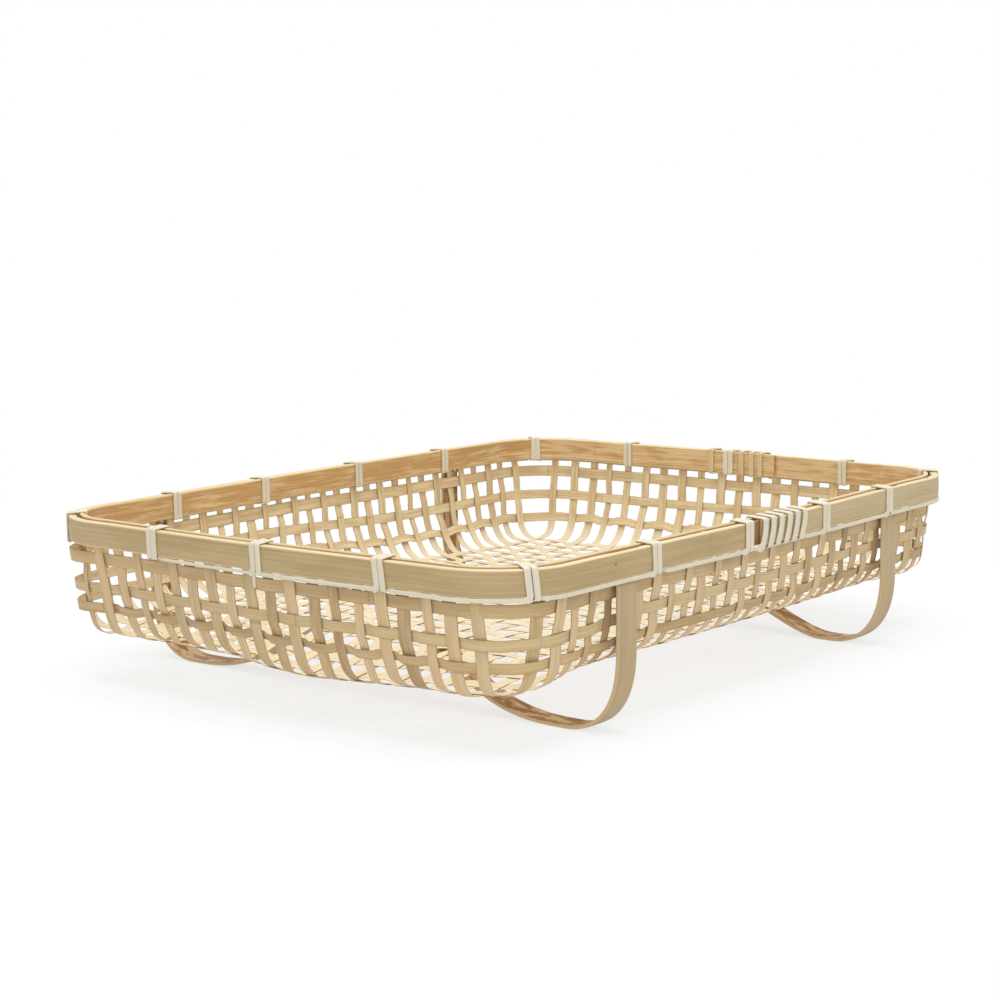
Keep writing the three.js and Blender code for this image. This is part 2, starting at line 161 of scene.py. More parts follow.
# Joint rings, where a strip is a little wider and thicker
JOINT_SIZE = 1.3
JOINT_WIDER = 0.03
JOINT_THICKER = 0.22
SPLINT_JOINTS = (20.0, 230.0, 232.0)  # range of the first joint's place, and distance to the next
ROW_JOINTS = (30.0, 200.0, 251.0)
HOOP_JOINTS = (100.0, 200.0, 287.0)
RUNNER_JOINT = (150.0, 190.0)

# Spacing of a strip's sections
SPLINT_STEP = 2.0
ROW_STEP = 1.6
HOOP_STEP = 1.5
CANE_STEP = 2.2

# Foot runners
RUNNER_SPREAD = 124.0
RUNNER_WIDTH = 14.7
RUNNER_THICKNESS = 1.7
TONGUE_THICKNESS = 1.2
TONGUE_INSET = 3.9
TONGUE_DROP = 5.0  # a runner grows thin from this far below the hoops, over this length
TONGUE_RUN = 4.0
TUCK_DROPS = (0.3, 4.0)  # its step outward starts and ends this far below the hoops
TUCK_PULL = 2.0
FOOT_INSET = 36.0
FOOT_FLAT = 7.0
FOOT_KNEE = 40.0
RUNNER_BEARING = 30.0
KNEE_PULL = 0.3  # shape of the runner's curves at its knee, its heel and the base
HEEL_PULL = 0.55
BEARING_PULL = 0.35
RUNNER_RISES = (0.6, 0.25)  # how long each runner stays low before it rises to the base
BEARING_Z = 29.9
RUNNER_CROWN = 0.25
RUNNER_WIDTH_DRIFT = (0.12, 130.0)
RUNNER_TONE_DRIFT = (0.2, 160.0)
RUNNER_TONE = 0.5
RUNNER_GROOVES = [(-0.32, 0.05, 0.22), (0.18, 0.04, 0.18), (0.55, 0.04, 0.14)]  # place, width and depth

# Lashing cane
CANE_WIDTH = 3.3
CANE_THICKNESS = 0.8
CANE_PITCH = 3.55
SPLICE_CANE_WIDTH = 4.3
SPLICE_STEP = 7.4  # spacing of the wraps over the outer hoop's joint
SPLICE_BULGE = 1.4  # how far these wraps bend sideways
SPLICE_GAP = 0.3  # how much further out they stand than other wraps
BULGE_AT = 0.55  # share of the hoop's height where they bend most
WRAP_DROP = 1.5  # a wrap's loop below the hoops' lower edge
CANE_GAP = 0.25
BACK_CANE_WIDTH = 2.8
INNER_SPLICE_WIDTH = 3.5
RUN_HEIGHT = 2.1
THIN_RUN_HEIGHT = 1.6
RUN_OUT = -0.05  # how far the run under the hoop stands out from the hoop's face
RUN_CLEAR = 5.0  # the run starts this far past a binding
RUN_TURN_OUT = -1.6  # how far out the cane is where it turns from a binding to its run
RUN_TURN_HALF = 1.2  # and its half width there
UNDER_HALF = 1.1  # half width of the cane between two upright splints
STAKE_SIDES = (-4.8, -3.2)  # how far out it is there
EDGE_BEND = 0.9  # rounding of the cane over a hoop's edge
RUN_TONE = 0.1

# Camera
CAMERA_AT = (-981.8, -762.1, 265.9)
CAMERA_YAW = math.radians(51.57)
CAMERA_PITCH = math.radians(8.354)
CAMERA_ROLL = math.radians(-0.573)
CAMERA_LENS = 82.84

# Floor and light, in metres and watts
FLOOR_HALF = 6.0
FLOOR_COLOUR = (0.86, 0.86, 0.85, 1)
FLOOR_FILL = 0.45  # how much white the floor gives of itself to the object above it
WORLD_LIGHT = 0.66
LAMPS = [  # name, place, aim, size and power
    ("overhead", (-0.1, -0.1, 1.5), (0, 0, 0), 1.4, 18.5),
    ("front", (-1.4, -1.3, 0.8), (0, 0, 0.06), 1.2, 7.4),
]

# Derived sizes
HALF_X = RIM_LENGTH / 2
HALF_Y = RIM_WIDTH / 2
CORNER_X = HALF_X - CORNER_RADIUS
CORNER_Y = HALF_Y - CORNER_RADIUS
HOOP_BOTTOM = RIM_TOP - HOOP_HEIGHT
RIM_INSET = INNER_HOOP_INSET + INNER_HOOP_THICKNESS
CROSS_PITCH = 2 * CROSS_REACH / (CROSS_SPLINTS - 1)
LONG_PITCH = 2 * LONG_REACH / (LONG_SPLINTS - 1)
QUARTER_ARC = math.pi / 2 * CORNER_RADIUS
PERIMETER = 4 * (CORNER_X + CORNER_Y + QUARTER_ARC)

Wall = namedtuple("Wall", "normal along half corner pitch")
ALONG_X, ALONG_Y, UP = np.eye(3)
WALLS = [
    Wall(-ALONG_X, -ALONG_Y, HALF_X, CORNER_Y, LONG_PITCH),
    Wall(-ALONG_Y, ALONG_X, HALF_Y, CORNER_X, CROSS_PITCH),
    Wall(ALONG_X, ALONG_Y, HALF_X, CORNER_Y, LONG_PITCH),
    Wall(ALONG_Y, -ALONG_X, HALF_Y, CORNER_X, CROSS_PITCH),
]
LEFT, FRONT, RIGHT, BACK = range(4)

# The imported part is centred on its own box, which moves it a little from these formulas
runner_low, runner_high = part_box("foot_runner_left")
SHIFT = np.array([0.0, (runner_low[1] + runner_high[1]) / 2 / MM, 0.0])


def smooth(share):
    """Smooth step from 0 to 1."""
    share = np.clip(share, 0.0, 1.0)
    return share * share * (3.0 - 2.0 * share)


def column(values):
    """Numbers as a column, to multiply rows of vectors."""
    return np.asarray(values, float)[:, None]


def unit(vectors):
    """Rows of vectors, each of length 1."""
    return vectors / np.linalg.norm(vectors, axis=1)[:, None]


def leaning(angle, start, end):
    """Directions that lean from one way towards another by some angles."""
    return column(np.cos(angle)) * start + column(np.sin(angle)) * end


def wander(places, size, length):
    """Slow, smooth drift along a strip."""
    total = np.zeros(len(places))
    for part in (1.0, 0.47, 0.23):
        total += part * np.sin(2 * math.pi * places / (length * part) + rng.uniform(0, 2 * math.pi))
    return size * total / 1.7


def bow(along, corner):
    """Outward bow of a side, none at its ends."""
    return SIDE_BOW * np.cos(math.pi * along / (2 * corner)) ** 2


def wall_inset(z):
    """Inset of the woven wall's middle from the outer hoop's face."""
    return SPLINT_INSET + (HOOP_BOTTOM - z) * math.tan(WALL_LEAN)


def rim_place(index, along):
    """Distance round the rim to a place on a wall."""
    start = sum(2 * wall.corner + QUARTER_ARC for wall in WALLS[:index])
    return start + WALLS[index].corner + along


def rim_corner(index):
    """Distance round the rim to the middle of the corner after a wall."""
    return rim_place(index, WALLS[index].corner) + QUARTER_ARC / 2


def around(place, middle):
    """Distance round the rim between two places, the shorter way."""
    return np.abs((place - middle + PERIMETER / 2) % PERIMETER - PERIMETER / 2)


def close_to(place, middle, reach):
    """1 up to some distance round the rim from a place, and 0 from some way further on."""
    return 1 - smooth((around(place, middle) - reach[0]) / reach[1])


def bend_radius(place):
    """Radius of the turn from the base to the walls, least at the corners."""
    radius = CORNER_BEND_RADIUS
    for index, wall in enumerate(WALLS):
        share = close_to(place, rim_place(index, 0.0), (BEND_CORE * wall.corner, BEND_EASE * wall.corner))
        radius = radius + (BEND_RADII[index] - CORNER_BEND_RADIUS) * share
    return radius


def bend(radius):
    """Inset and height of the centre of the turn from the base to a wall, and the wall's lowest height."""
    centre_z = BASE_HEIGHT + radius
    start_z = centre_z - radius * math.sin(WALL_LEAN)
    return wall_inset(start_z) + radius * math.cos(WALL_LEAN), centre_z, start_z


def rim(place, inset):
    """Points round the rim at an inset from the outer hoop's face, and the ways out and along there."""
    place = np.mod(np.asarray(place, float), PERIMETER)
    inset = np.broadcast_to(np.asarray(inset, float), place.shape)
    point, out, side = np.zeros((3, len(place), 3))
    start = 0.0
    for wall in WALLS:
        rest = place - start
        flat = (rest >= 0) & (rest < 2 * wall.corner)
        turned = (rest >= 2 * wall.corner) & (rest < 2 * wall.corner + QUARTER_ARC)
        along = rest - wall.corner
        turn = np.where(turned, (rest - 2 * wall.corner) / CORNER_RADIUS, 0.0)
        way_out = leaning(turn, wall.normal, wall.along)
        way_side = leaning(turn, wall.along, -wall.normal)
        straight = wall.half - inset + bow(along, wall.corner)
        on_wall = column(straight) * wall.normal + column(along) * wall.along
        centre = (wall.half - CORNER_RADIUS) * wall.normal + wall.corner * wall.along
        on_corner = centre + column(CORNER_RADIUS - inset) * way_out
        point[flat] = on_wall[flat]
        point[turned] = on_corner[turned]
        out[flat | turned] = way_out[flat | turned]
        side[flat | turned] = way_side[flat | turned]
        start += 2 * wall.corner + QUARTER_ARC
    return point, out, side


def wave(places, knots, offsets):
    """Offset of a woven strip: level at each crossing, with a smooth turn between them."""
    knots = np.asarray(knots, float)
    offsets = np.asarray(offsets, float)
    index = np.clip(np.searchsorted(knots, places) - 1, 0, len(knots) - 2)
    share = (places - knots[index]) / (knots[index + 1] - knots[index])
    eased = smooth((share - LEVEL) / (1 - 2 * LEVEL))
    return offsets[index] + (offsets[index + 1] - offsets[index]) * eased


def outline(edge, depth, crown, face_points=5, grooves=()):
    """Section of a strip, -1 to 1 across and through it: rounded edges, a crowned face and grooves."""
    turn = np.linspace(0, math.pi / 2, 4)
    flat = np.linspace(-1, 1, face_points)
    flat = np.sort(np.concatenate([flat, [-0.95, 0.95]])) * (1 - edge)
    rise = crown * (1 - (flat / (1 - edge)) ** 2)
    for middle, width, deep in grooves:
        rise = rise - deep * np.exp(-((flat - middle) / width) ** 2)
    bottom = np.column_stack([flat, np.full(len(flat), -1.0)])
    top = np.column_stack([flat[::-1], 1 + rise[::-1]])
    low = np.column_stack([1 - edge + edge * np.sin(turn), -1 + depth - depth * np.cos(turn)])
    high = np.column_stack([1 - edge + edge * np.cos(turn), 1 - depth + depth * np.sin(turn)])
    mirror = np.array([-1.0, 1.0])
    left_high = (high * mirror)[::-1]
    left_low = (low * mirror)[::-1]
    return np.vstack([bottom, low[1:], high[:-1], top, left_high[1:], left_low[:-1]])


def distances(points):
    """Distance travelled along a row of points."""
    return np.concatenate([[0.0], np.cumsum(np.linalg.norm(np.diff(points, axis=0), axis=1))])


def joint_places(length, low, high, spacing):
    """Places of the joint rings along a strip."""
    return np.arange(rng.uniform(low, high), length, spacing)


def show(name, data):
    """New object in the scene."""
    made = bpy.data.objects.new(name, data)
    bpy.context.scene.collection.objects.link(made)
    return made


def sweep(name, middle, across, thick, half_width, half_thick, section, tone,
          joints=(), closed=False, stain=0.0, pale=0.0):
    """Strip through a row of sections, with what its material needs to know at each point."""
    count, size = len(middle), len(section)
    along = distances(middle)
    ring = np.zeros(count)
    for joint in joints:
        ring += np.exp(-((along - joint) / JOINT_SIZE) ** 2)
    half_width = np.broadcast_to(half_width, count) * (1 + JOINT_WIDER * ring)
    half_thick = np.broadcast_to(half_thick, count) * (1 + JOINT_THICKER * ring)
    wide = half_width[:, None] * section[None, :, 0]
    deep = half_thick[:, None] * section[None, :, 1]
    points = middle[:, None] + across[:, None] * wide[..., None] + thick[:, None] * deep[..., None]
    points = (points.reshape(-1, 3) + SHIFT) * MM
    rows = np.arange(count if closed else count - 1)
    here = rows[:, None] * size + np.arange(size)[None]
    ahead = ((rows + 1) % count)[:, None] * size + np.arange(size)[None]
    quads = np.stack([here, np.roll(here, -1, 1), np.roll(ahead, -1, 1), ahead], axis=-1).reshape(-1, 4)
    a, b, c, d = points[quads].transpose(1, 0, 2)
    faces = quads.tolist()
    if not closed:
        faces.append(list(range(size))[::-1])
        faces.append(list(range((count - 1) * size, count * size)))
    if np.sum(a * (np.cross(b, c) + np.cross(c, d))) < 0:
        faces = [face[::-1] for face in faces]
    mesh = bpy.data.meshes.new(name)
    mesh.from_pydata(points.tolist(), [], faces)
    facts = {
        "across": wide.ravel(),
        "edge": np.tile(section[:, 0], count),
        "face": np.tile(section[:, 1], count),
    }
    seed = seeds.uniform(0, 90)
    by_row = {"along": along, "tone": tone, "seed": seed, "pale": pale, "ring": ring, "stain": stain}
    for key, value in by_row.items():
        facts[key] = np.repeat(np.broadcast_to(value, count), size)
    for key, values in facts.items():
        mesh.attributes.new(key, "FLOAT", "POINT").data.foreach_set("value", values.astype(np.float32))
    mesh.shade_smooth()
    mesh.set_sharp_from_angle(angle=math.radians(60))
    return show(name, mesh)


def settle(piece, slot, *nodes):
    """Gives a piece its material and the body it rides on, and hides the CAD nodes it stands in for."""
    piece.data.materials.append(MATERIALS[slot])
    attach(piece, "root")
    if nodes:
        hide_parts(*nodes)


def strip(node, slot, *shape, **more):
    """Strip that stands in for a CAD node."""
    settle(sweep("look_" + node, *shape, **more), slot, node)


# Materials

def srgb(red, green, blue):
    """Colour as written on a screen, 0 to 255, in linear light."""
    linear = []
    for value in (red, green, blue):
        share = value / 255
        linear.append(share / 12.92 if share <= 0.04045 else ((share + 0.055) / 1.055) ** 2.4)
    return (*linear, 1.0)


def add(tree, kind, inputs=None, **settings):
    """New node with its settings, and its inputs set or linked."""
    made = tree.nodes.new(kind)
    for key, value in settings.items():
        setattr(made, key, value)
    for key, value in (inputs or {}).items():
        if isinstance(value, bpy.types.NodeSocket):
            tree.links.new(value, made.inputs[key])
        else:
            made.inputs[key].default_value = value
    return made


def attribute(tree, name):
    return add(tree, "ShaderNodeAttribute", attribute_name=name).outputs["Fac"]


def maths(tree, operation, a, b=0.0, clamp=False):
    return add(tree, "ShaderNodeMath", {0: a, 1: b}, operation=operation, use_clamp=clamp).outputs[0]


def spread(tree, value, low, high, to_low=0.0, to_high=1.0):
    """Value taken smoothly from one range to another."""
    inputs = {"Value": value, "From Min": low, "From Max": high, "To Min": to_low, "To Max": to_high}
    return add(tree, "ShaderNodeMapRange", inputs, interpolation_type="SMOOTHSTEP").outputs["Result"]


def mix(tree, share, a, b, blend="MIX"):
    """Mix of two colours."""
    inputs = {0: share, 6: a, 7: b}
    return add(tree, "ShaderNodeMix", inputs, data_type="RGBA", blend_type=blend).outputs[2]


def ramp(tree, value, stops):
    """Colours along a scale from 0 to 1."""
    made = add(tree, "ShaderNodeValToRGB", {0: value})
    elements = made.color_ramp.elements
    while len(elements) < len(stops):
        elements.new(0.5)
    for element, (place, colour) in zip(elements, stops.items()):
        element.position = place
        element.color = srgb(*colour)
    return made.outputs["Color"]


def fibres(tree, along_scale, across_scale, detail=2.0):
    """Noise drawn out along a strip, different on each strip."""
    place = add(tree, "ShaderNodeCombineXYZ", {
        "X": maths(tree, "MULTIPLY", attribute(tree, "along"), along_scale),
        "Y": maths(tree, "MULTIPLY", attribute(tree, "across"), across_scale),
        "Z": maths(tree, "ADD", attribute(tree, "seed"), attribute(tree, "face")),
    }).outputs[0]
    inputs = {"Vector": place, "Scale": 1.0, "Detail": detail, "Roughness": 0.6}
    return add(tree, "ShaderNodeTexNoise", inputs).outputs["Fac"]


def new_material(name):
    """New material, kept under its name: its nodes, and its shader among them."""
    material = bpy.data.materials.new(name)
    material.use_nodes = True
    MATERIALS[name] = material
    return material.node_tree, material.node_tree.nodes["Principled BSDF"]


def surface(tree, shader, body, fine, roughness, height, strength, depth):
    """Colour, roughness and fine relief of a strip."""
    tree.links.new(body, shader.inputs["Base Color"])
    tree.links.new(spread(tree, fine, 0.2, 0.8, *roughness), shader.inputs["Roughness"])
    bump = add(tree, "ShaderNodeBump", {"Strength": strength, "Distance": depth, "Height": height})
    tree.links.new(bump.outputs["Normal"], shader.inputs["Normal"])


def bamboo(name, tones, inside, edges, streak, lines, edge_from=0.88, grain=1.0, rings=0.35, knots=(),
           mottle=(0.04, 0.35, 0.25, 0.5)):
    """Strip of bamboo: its own tone, long fibres, its inner side, its cut edges and its joint rings."""
    tree, shader = new_material(name)
    soft = fibres(tree, 0.010 * grain, 1.3)
    fine = fibres(tree, 0.022 * grain, 5.5)
    drift = spread(tree, fibres(tree, 0.022, 0.12), 0.25, 0.75, -0.22, 0.22)
    tone = maths(tree, "ADD", attribute(tree, "tone"), drift, clamp=True)
    body = ramp(tree, tone, tones)
    patches = fibres(tree, mottle[0], mottle[1], 4.0)
    patches = maths(tree, "SUBTRACT", patches, maths(tree, "MULTIPLY", tone, 0.2))
    inner = mix(tree, spread(tree, patches, mottle[2], mottle[3]), inside[0], inside[1])
    # below PALE_FROM the inner face takes the base's pith, painted paler to stand for the strong light from
    # above, and its cut edges darken less
    inner = mix(tree, attribute(tree, "pale"), inner, BASE_PITH_AND_PAINTED_LIGHT)
    body = mix(tree, spread(tree, attribute(tree, "face"), -0.5, -0.95), body, inner)
    side = maths(tree, "ABSOLUTE", attribute(tree, "edge"))
    cut = spread(tree, side, edge_from, edge_from + 0.1, 0.0, 0.85)
    cut = maths(tree, "MULTIPLY", cut, spread(tree, attribute(tree, "pale"), 0.0, 1.0, 1.0, 0.15))
    body = mix(tree, cut, body, edges)
    shade = spread(tree, soft, 0.3, 0.7, 1 - streak, 1 + 0.6 * streak)
    body = mix(tree, 1.0, body, shade, "MULTIPLY")
    dark = spread(tree, fine, 0.5, 0.74, 1.0, 1 - lines)
    body = mix(tree, 1.0, body, dark, "MULTIPLY")
    ring = attribute(tree, "ring")
    body = mix(tree, spread(tree, ring, 0.55, 1.0, 0.0, rings), body, srgb(112, 84, 52))
    body = mix(tree, attribute(tree, "stain"), body, srgb(138, 96, 46))
    for along, across, size in knots:
        east = maths(tree, "SUBTRACT", attribute(tree, "along"), along)
        north = maths(tree, "SUBTRACT", attribute(tree, "across"), across)
        squares = [maths(tree, "MULTIPLY", way, way) for way in (east, north)]
        away = maths(tree, "SQRT", maths(tree, "ADD", *squares))
        body = mix(tree, spread(tree, away, size, 0.4 * size, 0.0, 0.85), body, srgb(84, 60, 36))
    height = maths(tree, "ADD", soft, maths(tree, "MULTIPLY", fine, 0.7))
    surface(tree, shader, body, fine, (0.42, 0.62), height, 0.45, 0.0003)
    shader.inputs["Specular IOR Level"].default_value = 0.35


def cane(name):
    """White cane: pale, faintly lined along its length, tanner where its tone is high."""
    tree, shader = new_material(name)
    soft = fibres(tree, 0.03, 1.4, 3.0)
    fine = fibres(tree, 0.05, 7.0)
    body = ramp(tree, attribute(tree, "tone"), CANE_TONES)
    body = mix(tree, 1.0, body, spread(tree, soft, 0.3, 0.7, 0.92, 1.04), "MULTIPLY")
    body = mix(tree, 1.0, body, spread(tree, fine, 0.5, 0.75, 1.0, 0.88), "MULTIPLY")
    side = maths(tree, "ABSOLUTE", attribute(tree, "edge"))
    body = mix(tree, spread(tree, side, 0.8, 1.0, 0.0, 0.3), body, srgb(196, 176, 138))
    surface(tree, shader, body, fine, (0.36, 0.55), fine, 0.35, 0.0002)


SPLINT_TONES = {0.0: (168, 141, 101), 0.3: (196, 168, 125), 0.55: (208, 184, 142), 0.8: (211, 180, 140),
                1.0: (188, 168, 124)}
WEAVER_TONES = {0.0: (174, 144, 102), 0.5: (198, 171, 126), 1.0: (206, 184, 140)}
OUTER_HOOP_TONES = {0.0: (166, 142, 101), 0.5: (180, 157, 114), 1.0: (190, 171, 132)}
INNER_HOOP_TONES = {0.0: (190, 146, 90), 1.0: (206, 164, 110)}
RUNNER_TONES = {0.0: (176, 152, 113), 0.5: (184, 162, 124), 1.0: (188, 171, 133)}
CANE_TONES = {0.0: (214, 207, 187), 0.5: (212, 198, 168), 1.0: (204, 178, 132)}
PITH = (srgb(222, 202, 160), srgb(206, 180, 136))
# pith of the base, real pith colour painted paler than the walls' pith to stand for the strong light falling
# on the base
BASE_PITH_AND_PAINTED_LIGHT = srgb(222, 206, 170)
HOOP_PITH = (srgb(218, 188, 141), srgb(193, 151, 97))
RUNNER_PITH = (srgb(222, 192, 148), srgb(162, 118, 70))
KNOT = (1264.0, 1.2, 0.9)  # place along the outer hoop, height from its middle, and size
MATERIALS = {}
bamboo("bamboo_splint", SPLINT_TONES, PITH, srgb(160, 130, 90), streak=0.12, lines=0.22, grain=0.7)
bamboo("bamboo_weaver", WEAVER_TONES, PITH, srgb(152, 122, 82), streak=0.12, lines=0.22, grain=0.7)
bamboo("bamboo_hoop_outer", OUTER_HOOP_TONES, PITH, srgb(220, 201, 160), streak=0.09, lines=0.16,
       edge_from=0.84, grain=0.35, rings=0.12, knots=[KNOT])
bamboo("bamboo_hoop_inner", INNER_HOOP_TONES, HOOP_PITH, srgb(226, 203, 160), streak=0.14, lines=0.34,
       edge_from=0.84, grain=0.3, rings=0.12)
bamboo("bamboo_runner", RUNNER_TONES, RUNNER_PITH, srgb(202, 178, 136), streak=0.12, lines=0.24,
       grain=0.6, mottle=(0.075, 0.17, 0.34, 0.45))
cane("white_cane")


# Splints

def places(count, pitch):
    """Places of the splints on the base, each a little off its own spot."""
    return (np.arange(count) - (count - 1) / 2) * pitch + rng.uniform(-PLACE_DRIFT, PLACE_DRIFT, count)


def rising(x, y, start, run):
    """0 before a line along X and a line along Y, and 1 some way past both."""
    return smooth((x - start[0]) / run[0]) * smooth((y - start[1]) / run[1])


def sag(points):
    """How far the base hangs down: beside the left wall, and along the back and right walls."""
    x, y, z = points.T
    left = np.interp(y, SAG_Y, SAG_SHARES) * smooth((SAG_FROM - x) / SAG_RUN)
    back = rising(x, y, BACK_SAG_FROM, BACK_SAG_RUN)
    right = rising(x, y, RIGHT_SAG_FROM, RIGHT_SAG_RUN)
    far = 1 - (1 - back) * (1 - right)
    dip = np.exp(-((x - DIP_AT[0]) / DIP_SIZE[0]) ** 2 - ((y - DIP_AT[1]) / DIP_SIZE[1]) ** 2)
    return (LEFT_SAG * left + FAR_SAG * far + FAR_DIP * dip) * smooth((SAG_TOP - z) / SAG_FADE)


def widened(run, reach):
    """Share of the base's spread at a place along a splint."""
    return np.cos(np.clip(run / reach, -1.0, 1.0) * math.pi / 2) ** 2


def row_height(row, place):
    """Height of a row's middle at places round the rim, before the base's droop."""
    left = close_to(place, rim_place(LEFT, 0.0), LEFT_DROP_REACH)
    far = close_to(place, rim_corner(RIGHT), FAR_DROP_REACH)
    return ROW_HEIGHTS[row] - LEFT_DROPS[row] * left - FAR_DROPS[row] * far


CROSS_X = places(CROSS_SPLINTS, CROSS_PITCH * BASE_STRETCH)
LONG_Y = places(LONG_SPLINTS, LONG_PITCH * BASE_STRETCH)
CROSSING = rng.uniform(0.85, 1.3, (CROSS_SPLINTS, LONG_SPLINTS))  # how hard two splints press at a crossing
CROSSING = CROSSING * np.where(np.indices(CROSSING.shape).sum(axis=0) % 2 == 0, -1, 1)  # and which is on top
LOW_ALONG = np.concatenate([-LONG_Y[::-1], CROSS_X, LONG_Y, -CROSS_X[::-1]])  # round the four walls
STAKES = len(LOW_ALONG)
STAKE_WALL = np.repeat([LEFT, FRONT, RIGHT, BACK], [LONG_SPLINTS, CROSS_SPLINTS, LONG_SPLINTS, CROSS_SPLINTS])
TOP_ALONG = LOW_ALONG + rng.uniform(-TOP_DRIFT, TOP_DRIFT, STAKES)
FORWARD = np.where(STAKE_WALL == LEFT, LEFT_LEAN * smooth((LEAN_FROM - LOW_ALONG) / LEAN_RUN), 0.0)
LOW_ALONG = LOW_ALONG + FORWARD
STAKE_PLACE = [rim_place(index, low) for index, low in zip(STAKE_WALL, LOW_ALONG)]
PRESS = rng.uniform(0.8, 1.35, (len(ROW_HEIGHTS), STAKES))  # how hard a row presses on an upright splint


def row_side(stake, row):
    """1 where a row passes outside an upright splint, -1 where it passes inside."""
    if row == len(ROW_HEIGHTS) - 1 and stake - LONG_SPLINTS in SKIPPED:
        return 1
    return 1 if (stake + row) % 2 == 0 else -1


def wall_profile(radius):
    """A splint's way up a wall, from the base to the rim: inset, height and tilt of its face."""
    centre_inset, centre_z, start_z = bend(radius)
    tilt = np.linspace(math.pi / 2, WALL_LEAN, 14)
    inset = centre_inset - radius * np.cos(tilt)
    z = centre_z - radius * np.sin(tilt)
    wall_z = np.linspace(start_z, HOOP_BOTTOM, 16)[1:]
    rim_z = np.linspace(HOOP_BOTTOM, SPLINT_TOP, 5)[1:]
    inset = np.concatenate([inset, wall_inset(wall_z), np.full(len(rim_z), SPLINT_INSET)])
    tilt = np.concatenate([tilt, np.full(len(wall_z), WALL_LEAN), np.zeros(len(rim_z))])
    return inset, np.concatenate([z, wall_z, rim_z]), tilt


def upright(z, low, top):
    """Place of an upright splint along its wall at some heights."""
    return low + (top - low) * smooth((z - BASE_HEIGHT) / (SPLINT_TOP - BASE_HEIGHT))


def splint_end(stake):
    """One end of a splint, from the base up a wall: middles, width directions and thickness directions."""
    wall = WALLS[STAKE_WALL[stake]]
    low, top = LOW_ALONG[stake], TOP_ALONG[stake]
    place = STAKE_PLACE[stake]
    inset, z, tilt = wall_profile(bend_radius(place))
    along = upright(z, low, top)
    past = np.abs(along) - wall.corner
    radius = CORNER_RADIUS - inset
    turn = np.where(past > 0, np.arcsin(np.clip(past / radius, 0.0, 0.95)), 0.0) * np.sign(along)
    straight = wall.half - inset + bow(along, wall.corner)
    out = np.where(past > 0, wall.half - CORNER_RADIUS + radius * np.cos(turn), straight)
    eased = turn * (1 - tilt / (math.pi / 2))
    way_out = leaning(eased, wall.normal, wall.along)
    side = leaning(eased, wall.along, -wall.normal)
    swell = STAKE_CORNER_BULGE * smooth(1 - around(place, rim_corner(BACK)) / QUARTER_ARC)
    swell = swell * smooth((HOOP_BOTTOM - z) / SWELL_RUN)
    middle = column(out) * wall.normal + column(along) * wall.along + column(z) * UP
    middle = middle + column(swell) * way_out
    return middle, side, leaning(tilt, way_out, -UP)


def lay_on_bend(middle, across, thick, index):
    """Turns the part of a splint that lies past the flat base up the bend of the wall that it runs along."""
    wall = WALLS[index]
    along = np.clip(middle @ wall.along, -wall.corner, wall.corner)
    radius = bend_radius(rim_place(index, along))
    reach = wall.half - bend(radius)[0] + bow(along, wall.corner)
    on_base = middle[:, 2] < BASE_HEIGHT + 2
    past = np.where(on_base, np.maximum(middle @ wall.normal - reach, 0.0), 0.0)
    turn = past / radius
    facing = np.sign(across @ wall.normal)
    middle = middle + wall.normal * column(radius * np.sin(turn) - past)
    middle = middle + UP * column(radius * (1 - np.cos(turn)))
    turned = column(turn) > 0
    across = np.where(turned, column(facing) * leaning(turn, wall.normal, UP), across)
    return middle, across, np.where(turned, leaning(turn, -UP, wall.normal), thick)


def hang(middle, across, thick):
    """Lets a splint hang down with the base, tilted to the base's slope under it."""
    slope = (sag(middle + across) - sag(middle - across)) / 2
    across = unit(across - UP * column(slope))
    thick = unit(thick - across * column(np.sum(thick * across, axis=1)))
    return middle - UP * column(sag(middle)), across, thick


